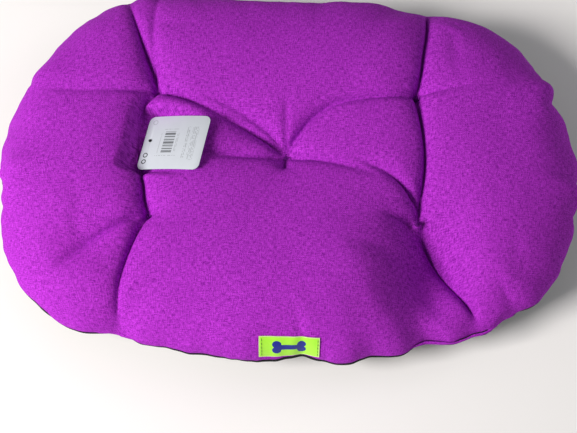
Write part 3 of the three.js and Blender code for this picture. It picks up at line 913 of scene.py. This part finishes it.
def addFilling():
    # loose wadding, just inside the two panels
    points = body.copy()
    for used, outer in ((topUsed, topOuter), (bottomUsed, bottomOuter)):
        points[used] = outer[:len(used)]  # a subdivided panel keeps its first points in order
    mesh = bpy.data.meshes.new("filling_wadding")
    mesh.from_pydata(points.tolist(), [], topFaces + bottomFaces)
    mesh.update()
    piece = bpy.data.objects.new("filling_wadding", mesh)
    scene.collection.objects.link(piece)
    normals = normalsOf(piece)
    gap = seamDistance(points)
    outward = points * (1, 1, 0) / np.hypot(points[:, 0], points[:, 1])[:, None]
    atSeam = np.exp(-(gap / (wadding["seamWidth"] * mm)) ** 2)[:, None]
    points = points - normals * wadding["inset"] * mm - outward * wadding["insideSeam"] * mm * atSeam
    for used, outer, up in ((topUsed, topOuter, 1), (bottomUsed, bottomOuter, -1)):
        tree = KDTree(len(outer))
        for index, place in enumerate(outer):
            tree.insert((place[0], place[1], 0), index)
        tree.balance()
        for index in used:  # under a narrow fold the wadding stays below the fold's deepest point
            found = tree.find_range((*points[index, :2], 0), wadding["reach"] * mm)
            near = [number for place, number, away in found]
            if near:
                limit = (up * outer[near, 2]).min() - wadding["clear"] * mm
                points[index, 2] = up * min(up * points[index, 2], limit)
    setPoints(piece, points)
    selectOnly(piece)
    bpy.ops.object.shade_smooth()
    finishPiece(piece, "cushion", "wadding", fibreWadding(), "filling")
    return piece


addFilling()
print("stage: filling ready")


def threadMesh(name, runs, radius):
    # round threads through the points of each run, as one mesh
    curve = bpy.data.curves.new(name, "CURVE")
    curve.dimensions = "3D"
    curve.bevel_depth = radius
    curve.bevel_resolution = 2
    curve.use_fill_caps = True
    for run in runs:
        spline = curve.splines.new("POLY")
        spline.points.add(len(run) - 1)
        for point, place in zip(spline.points, run):
            point.co = (*place, 1)
    piece = bpy.data.objects.new(name, curve)
    scene.collection.objects.link(piece)
    selectOnly(piece)
    bpy.ops.object.convert(target="MESH")
    piece = bpy.context.object
    bpy.ops.object.shade_smooth()
    return piece


def surfaceUnder(start, direction):
    # where a line from outside meets the covers
    hits = []
    for tree in coverTrees:
        place, normal, index, distance = tree.ray_cast(Vector(start), Vector(direction))
        if place is not None:
            hits.append((distance, place, normal))
    return min(hits, key=lambda hit: hit[0])[1:] if hits else (None, None)


seamThread = {  # mm
    "inset": 3.2,
    "stitch": 4,
    "dip": 0.3,  # each stitch rises and dips by this
    "radius": 0.35,
    "closingLength": 140,
    "closingStitch": 5,
    "closingSlant": 0.9,
    "closingReach": 2.6,  # how far a whip stitch reaches over the seam, each way
    "closingRadius": 0.4,
}


def addSeamThreads():
    # machine stitches just inside the seam, all round but for the gap at the rear
    shaped = foldDetail(seamRing, np.zeros_like(seamRing), np.zeros(len(seamRing)), False)
    closingHalf = seamThread["closingLength"] / 2 * mm
    count = int(2 * math.pi * (halfLength + halfWidth) / 2 / (seamThread["stitch"] * mm / 2))
    run = []
    for step in range(count):
        angle = math.pi / 2 + 2 * math.pi * step / count
        place = onRing(shaped, (angle + math.pi) % (2 * math.pi) - math.pi)
        if abs(place[0]) < closingHalf and place[1] > 0:
            continue
        place[:2] *= 1 - seamThread["inset"] * mm / np.hypot(place[0], place[1])
        place[2] += seamThread["dip"] * mm * (1 if step % 2 else -1)
        run.append(place)
    piece = threadMesh("perimeter_seam_stitches", [run], seamThread["radius"] * mm)
    finishPiece(piece, "cushion", "seam_thread", seamThreadFinish, "perimeter_seam_thread")

    # whip stitches close the gap from outside, each slanting over the seam
    runs = []
    for step in range(int(seamThread["closingLength"] / seamThread["closingStitch"])):
        middleX = -closingHalf + (step + 0.5) * seamThread["closingStitch"] * mm
        run = []
        for share in np.linspace(-1, 1, 7):
            x = middleX + seamThread["closingSlant"] * mm * share
            height = onRing(shaped, math.atan2(halfWidth, x))[2] + seamThread["closingReach"] * mm * share
            place, normal = surfaceUnder((x, halfWidth * 1.3, height), (0, -1, 0))
            if place is not None:
                sink = -0.9 * mm if abs(share) == 1 else 0.25 * mm  # both ends go into the cloth
                run.append(place + normal * sink)
        if len(run) > 4:
            runs.append(run)
    piece = threadMesh("closing_whip_stitches", runs, seamThread["closingRadius"] * mm)
    finishPiece(piece, "cushion", "seam_thread", seamThreadFinish, "closing_seam_thread")


tuftThread = {  # mm
    "strand": 0.45,  # radius
    "strands": 3,
    "strandTwist": 9,  # radians from bottom to top
    "strandSpread": 0.55,
    "tackWidth": 6.8,
    "tackRise": 1.0,
    "tackTurns": 5,
    "tackStep": 0.62,  # radians from one turn of the tack to the next
    "tail": 6,
    "tailRise": 3.2,
}


def addTuft(name, middle, number):
    # strands through the cushion, a crossed tack at each end, and two cut tails on top
    runs = []
    for strand in range(tuftThread["strands"]):
        phase = strand * 2 * math.pi / tuftThread["strands"]
        spread = tuftThread["strandSpread"] * mm
        run = []
        for share in np.linspace(0, 1, 24):
            turn = phase + tuftThread["strandTwist"] * share
            run.append((middle.x + spread * math.cos(turn), middle.y + spread * math.sin(turn),
                        tuftBottom + (tuftTop - tuftBottom) * share))
        runs.append(run)
    for level, up in ((tuftTop, 1), (tuftBottom, -1)):
        for strand in range(tuftThread["tackTurns"]):
            turn = 0.5 + strand * tuftThread["tackStep"] + number
            half = tuftThread["tackWidth"] / 2 * mm * (1 - 0.08 * strand)
            run = []
            for share in np.linspace(-1, 1, 9):
                rise = (tuftThread["tackRise"] * (1 - share ** 2) - 0.5 + 0.12 * strand) * mm
                run.append((middle.x + half * share * math.cos(turn),
                            middle.y + half * share * math.sin(turn), level + up * rise))
            runs.append(run)
    for side in (-1, 1):
        run = []
        for share in np.linspace(0, 1, 9):
            turn = number * 1.7 + side + 0.5 * math.sin(3 * share + number)
            out = 0.55 * tuftThread["tail"] * mm * share
            rise = (1.0 + tuftThread["tailRise"] * math.sin(2.4 * share)) * mm
            run.append((middle.x + out * math.cos(turn), middle.y + out * math.sin(turn), tuftTop + rise))
        runs.append(run)
    piece = threadMesh(name.replace("thread", "strands"), runs, tuftThread["strand"] * mm)
    return finishPiece(piece, "cushion", "tuft_thread", tuftFinish, name)


label = {  # mm
    "width": 54, "height": 24.5, "thickness": 0.6,
    "threadPitch": 0.45, "edgeBand": 0.7,
    "boneLength": 22, "boneShaft": 6, "knobSpread": 3.4, "knobWidth": 8.2,
    "ground": "#adf53c", "edge": "#dcf7a0", "motif": "#001c92",
    "stepsAcross": 44, "stepsDeep": 20, "lift": 0.5,
    "stiffness": 6,  # turns of evening out over the cloth below
    "stitchInset": 2, "stitches": 5, "stitchMargin": 1.5, "stitchRadius": 0.32,
    "dropFrom": 60,  # the label is laid on the cloth from this far outside it
}


def onlyMap(piece, name):
    # one empty map in place of those that the primitive came with
    while piece.data.uv_layers:
        piece.data.uv_layers.remove(piece.data.uv_layers[0])
    return piece.data.uv_layers.new(name=name)


def addLabel():
    low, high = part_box("front_label")
    middle = (low + high) / 2
    lean = math.atan2(high.z - low.z, high.y - low.y)
    upSlope = Vector((0, math.cos(lean), math.sin(lean)))
    outward = Vector((0, -math.sin(lean), math.cos(lean)))
    bpy.ops.object.select_all(action="DESELECT")
    bpy.ops.mesh.primitive_grid_add(x_subdivisions=label["stepsAcross"],
                                    y_subdivisions=label["stepsDeep"], size=1)
    piece = bpy.context.object
    piece.name = "front_label_woven"
    piece.data.name = piece.name
    flat = pointsOf(piece)[:, :2] * (label["width"] * mm, label["height"] * mm)

    def onCloth(across, up, lift):
        laid = middle + Vector((across, 0, 0)) + upSlope * up
        place, normal = surfaceUnder(laid + outward * label["dropFrom"] * mm, -outward)
        return (place if place is not None else laid) + outward * lift

    points = np.array([onCloth(across, up, label["lift"] * mm) for across, up in flat])
    # the stiff label bridges small hollows of the cloth, so its heights are evened out
    heights = points @ np.array(outward)
    grid = heights.reshape(label["stepsDeep"] + 1, label["stepsAcross"] + 1)
    evened = grid.copy()
    for turn in range(label["stiffness"]):
        padded = np.pad(evened, 1, mode="edge")
        evened = (padded[:-2, 1:-1] + padded[2:, 1:-1] + padded[1:-1, :-2] + padded[1:-1, 2:]
                  + 4 * evened) / 8
    raised = np.maximum(evened, grid).ravel() - heights
    setPoints(piece, points + raised[:, None] * np.array(outward))
    labelMap = onlyMap(piece, "label")
    corners = np.empty(len(piece.data.loops), int)
    piece.data.loops.foreach_get("vertex_index", corners)
    labelMap.data.foreach_set("uv", flat[corners].ravel())
    applyModifier(piece, "SOLIDIFY", {"thickness": label["thickness"] * mm, "offset": 1})
    bpy.ops.object.shade_smooth_by_angle(angle=math.radians(40))
    finishPiece(piece, "cushion", "label_weave", wovenLabel(label), "front_label")

    # a row of short stitches holds each end
    for side, node in ((-1, "label_thread_left"), (1, "label_thread_right")):
        runs = []
        pitch = (label["height"] - 2 * label["stitchMargin"]) / label["stitches"]
        for stitch in range(label["stitches"]):
            base = -label["height"] / 2 + label["stitchMargin"] + pitch * stitch
            run = []
            for share in np.linspace(0, 1, 7):
                across = side * (label["width"] / 2 - label["stitchInset"]) * mm
                up = (base + pitch * (0.1 + 0.8 * share)) * mm
                arch = (1.25 - 1.6 * (2 * share - 1) ** 6) * mm
                run.append(onCloth(across, up, arch + 0.25 * mm))
            runs.append(run)
        threads = threadMesh(node.replace("thread", "stitches"), runs, label["stitchRadius"] * mm)
        finishPiece(threads, "cushion", "label_thread", labelThreadFinish, node)


card = {
    "width": 64, "height": 58, "thickness": 0.45, "corner": 6, "bow": 1.6,
    "holeFromEdge": 7, "holeAboveMiddle": 2, "holeWidth": 1.8, "bends": 16,
    "paper": "#ccd3dc", "paperDark": "#c2c9d2", "ink": "#34393d",
    "blocks": [  # kind, middle and size in mm from the hole, pitch in mm, strength of the ink
        ("bars", (20, -2), (11, 24), 1.9, 0.75),
        ("level", (20, 12.6), (15, 1.2), 1.2, 0.35),
        ("level", (20, -16.4), (22, 1.2), 1.2, 0.4),
        ("print", (10.8, -3), (1.3, 22), 1.3, 0.3),
        ("print", (28.4, -2), (2.6, 20), 1.3, 0.3),
        ("print", (38.5, -2), (3.2, 34), 1.6, 0.42),
        ("print", (45.2, -3), (6.4, 36), 1.6, 0.34),
    ],
    "rings": [  # middle, diameter, line and strength
        ((-1.2, -15.5), 4.2, 1.0, 0.95), ((-1.2, -22.5), 4.0, 1.0, 0.95), ((0.4, 20.5), 4.6, 0.8, 0.3),
    ],
}
pin = {  # mm
    "filament": 0.5, "head": 3, "headHeight": 1, "barLength": 9, "barWidth": 1.2, "drop": 12.46,
    "bends": 16, "bendLow": 7, "bendHigh": 0.5,  # the filament's pieces, and a stretch below the card's hole
}


def tagMatrix():
    hole = Vector(frame["joints"][0]["pos_m"])
    up = Vector(frame["joints"][0]["axis"]).normalized()
    deep = -Vector(frame["joints"][1]["axis"]).normalized()
    side = deep.cross(up)
    turn = Matrix((side, deep, up)).transposed()
    return Matrix.Translation(hole) @ turn.to_4x4()


def addCard():
    width, height, thickness = card["width"] * mm, card["height"] * mm, card["thickness"] * mm
    middleX = width / 2 - card["holeFromEdge"] * mm
    middleY = -card["holeAboveMiddle"] * mm
    bpy.ops.object.select_all(action="DESELECT")
    bpy.ops.mesh.primitive_cube_add(size=1, location=(middleX, middleY, thickness / 2),
                                    scale=(width, height, thickness))
    piece = bpy.context.object
    piece.name = "hang_tag_card"
    piece.data.name = piece.name
    bpy.ops.object.transform_apply(location=True, scale=True)
    bpy.ops.object.mode_set(mode="EDIT")
    bpy.ops.mesh.select_mode(type="EDGE")
    bpy.ops.mesh.select_all(action="DESELECT")
    bpy.ops.object.mode_set(mode="OBJECT")
    for edge in piece.data.edges:
        ends = [piece.data.vertices[i].co for i in edge.vertices]
        edge.select = abs(ends[0].z - ends[1].z) > thickness / 2
    bpy.ops.object.mode_set(mode="EDIT")
    bpy.ops.mesh.bevel(offset=card["corner"] * mm, segments=8)
    # the card bends in narrow strips across its width
    for cut in range(1, card["bends"]):
        bpy.ops.mesh.select_all(action="SELECT")
        x = middleX - width / 2 + width * cut / card["bends"]
        bpy.ops.mesh.bisect(plane_co=(x, 0, 0), plane_no=(1, 0, 0))
    bpy.ops.object.mode_set(mode="OBJECT")
    bpy.ops.object.select_all(action="DESELECT")
    bpy.ops.mesh.primitive_cylinder_add(vertices=24, radius=card["holeWidth"] / 2 * mm, depth=0.01)
    punch = bpy.context.object
    applyModifier(piece, "BOOLEAN", {"object": punch, "operation": "DIFFERENCE", "solver": "EXACT"})
    bpy.data.objects.remove(punch)
    points = pointsOf(piece)
    across = 2 * (points[:, 0] - middleX) / width
    atHole = 1 - (2 * card["holeFromEdge"] / card["width"] - 1) ** 2
    points[:, 2] += card["bow"] * mm * (1 - across ** 2 - atHole)
    setPoints(piece, points)
    applyModifier(piece, "BEVEL", {"width": 0.1 * mm, "segments": 2, "limit_method": "ANGLE",
                                   "angle_limit": math.radians(50)})
    cardMap = onlyMap(piece, "card")
    for face in piece.data.polygons:
        under = -1 if face.normal.z < 0.5 else 0  # nothing is printed on the back and the edges
        for corner in face.loop_indices:
            place = piece.data.vertices[piece.data.loops[corner].vertex_index].co
            cardMap.data[corner].uv = (place.x + under, place.y)
    piece.data.transform(tagMatrix())
    piece.data.update()
    selectOnly(piece)
    bpy.ops.object.shade_smooth_by_angle(angle=math.radians(35))
    return finishPiece(piece, "tag", "tag_card", printedCard(card), "hang_tag")


def addPin():
    # bar under the cloth, filament up through it and the card, and a flat head on the card
    drop = pin["drop"] * mm
    headLow = (card["thickness"] + 0.15) * mm
    bpy.ops.object.select_all(action="DESELECT")
    headHeight = pin["headHeight"] * mm
    bpy.ops.mesh.primitive_cylinder_add(vertices=24, radius=pin["head"] / 2 * mm, depth=headHeight,
                                        location=(0, 0, headLow + headHeight / 2))
    head = bpy.context.object
    bpy.ops.object.transform_apply(location=True)
    applyModifier(head, "BEVEL", {"width": 0.3 * mm, "segments": 3, "limit_method": "ANGLE"})
    run = [(0, 0, height) for height in np.linspace(-drop, headLow, pin["bends"] + 1)]
    filament = threadMesh("filament", [run], pin["filament"] * mm)
    barRadius, half = pin["barWidth"] / 2 * mm, pin["barLength"] / 2 * mm
    bpy.ops.object.select_all(action="DESELECT")
    bpy.ops.mesh.primitive_cylinder_add(vertices=16, radius=barRadius, depth=2 * half,
                                        location=(0, 0, -drop))
    bar = bpy.context.object
    bpy.ops.object.transform_apply(location=True)
    bar.data.transform(Matrix.Translation((0, 0, -drop)) @ Matrix.Rotation(math.radians(90), 4, "X")
                       @ Matrix.Translation((0, 0, drop)))
    applyModifier(bar, "BEVEL", {"width": 0.4 * mm, "segments": 3, "limit_method": "ANGLE"})
    bpy.ops.object.select_all(action="DESELECT")
    for part in (head, filament, bar):
        part.select_set(True)
    bpy.context.view_layer.objects.active = head
    bpy.ops.object.join()
    piece = bpy.context.object
    piece.name = "tag_pin_nylon"
    piece.data.name = piece.name
    piece.data.transform(tagMatrix())
    selectOnly(piece)
    bpy.ops.object.shade_smooth_by_angle(angle=math.radians(40))
    finishPiece(piece, None, "nylon", mouldedNylon(), "tag_pin")
    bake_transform(piece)
    return piece


seamThreadFinish = spunThread("spunPolyesterViolet", "#4d1260", "#7d2a92")
tuftFinish = spunThread("spunPolyesterPlum", "#430656", "#7c1296")
labelThreadFinish = spunThread("spunPolyesterLime", "#86cc30", "#c0ee70")
addSeamThreads()
for number, (name, middle) in enumerate(tufts.items()):
    addTuft(name, middle, number)
print("stage: threads ready")
addLabel()
addCard()
addPin()
print("stage: label, card and pin ready")
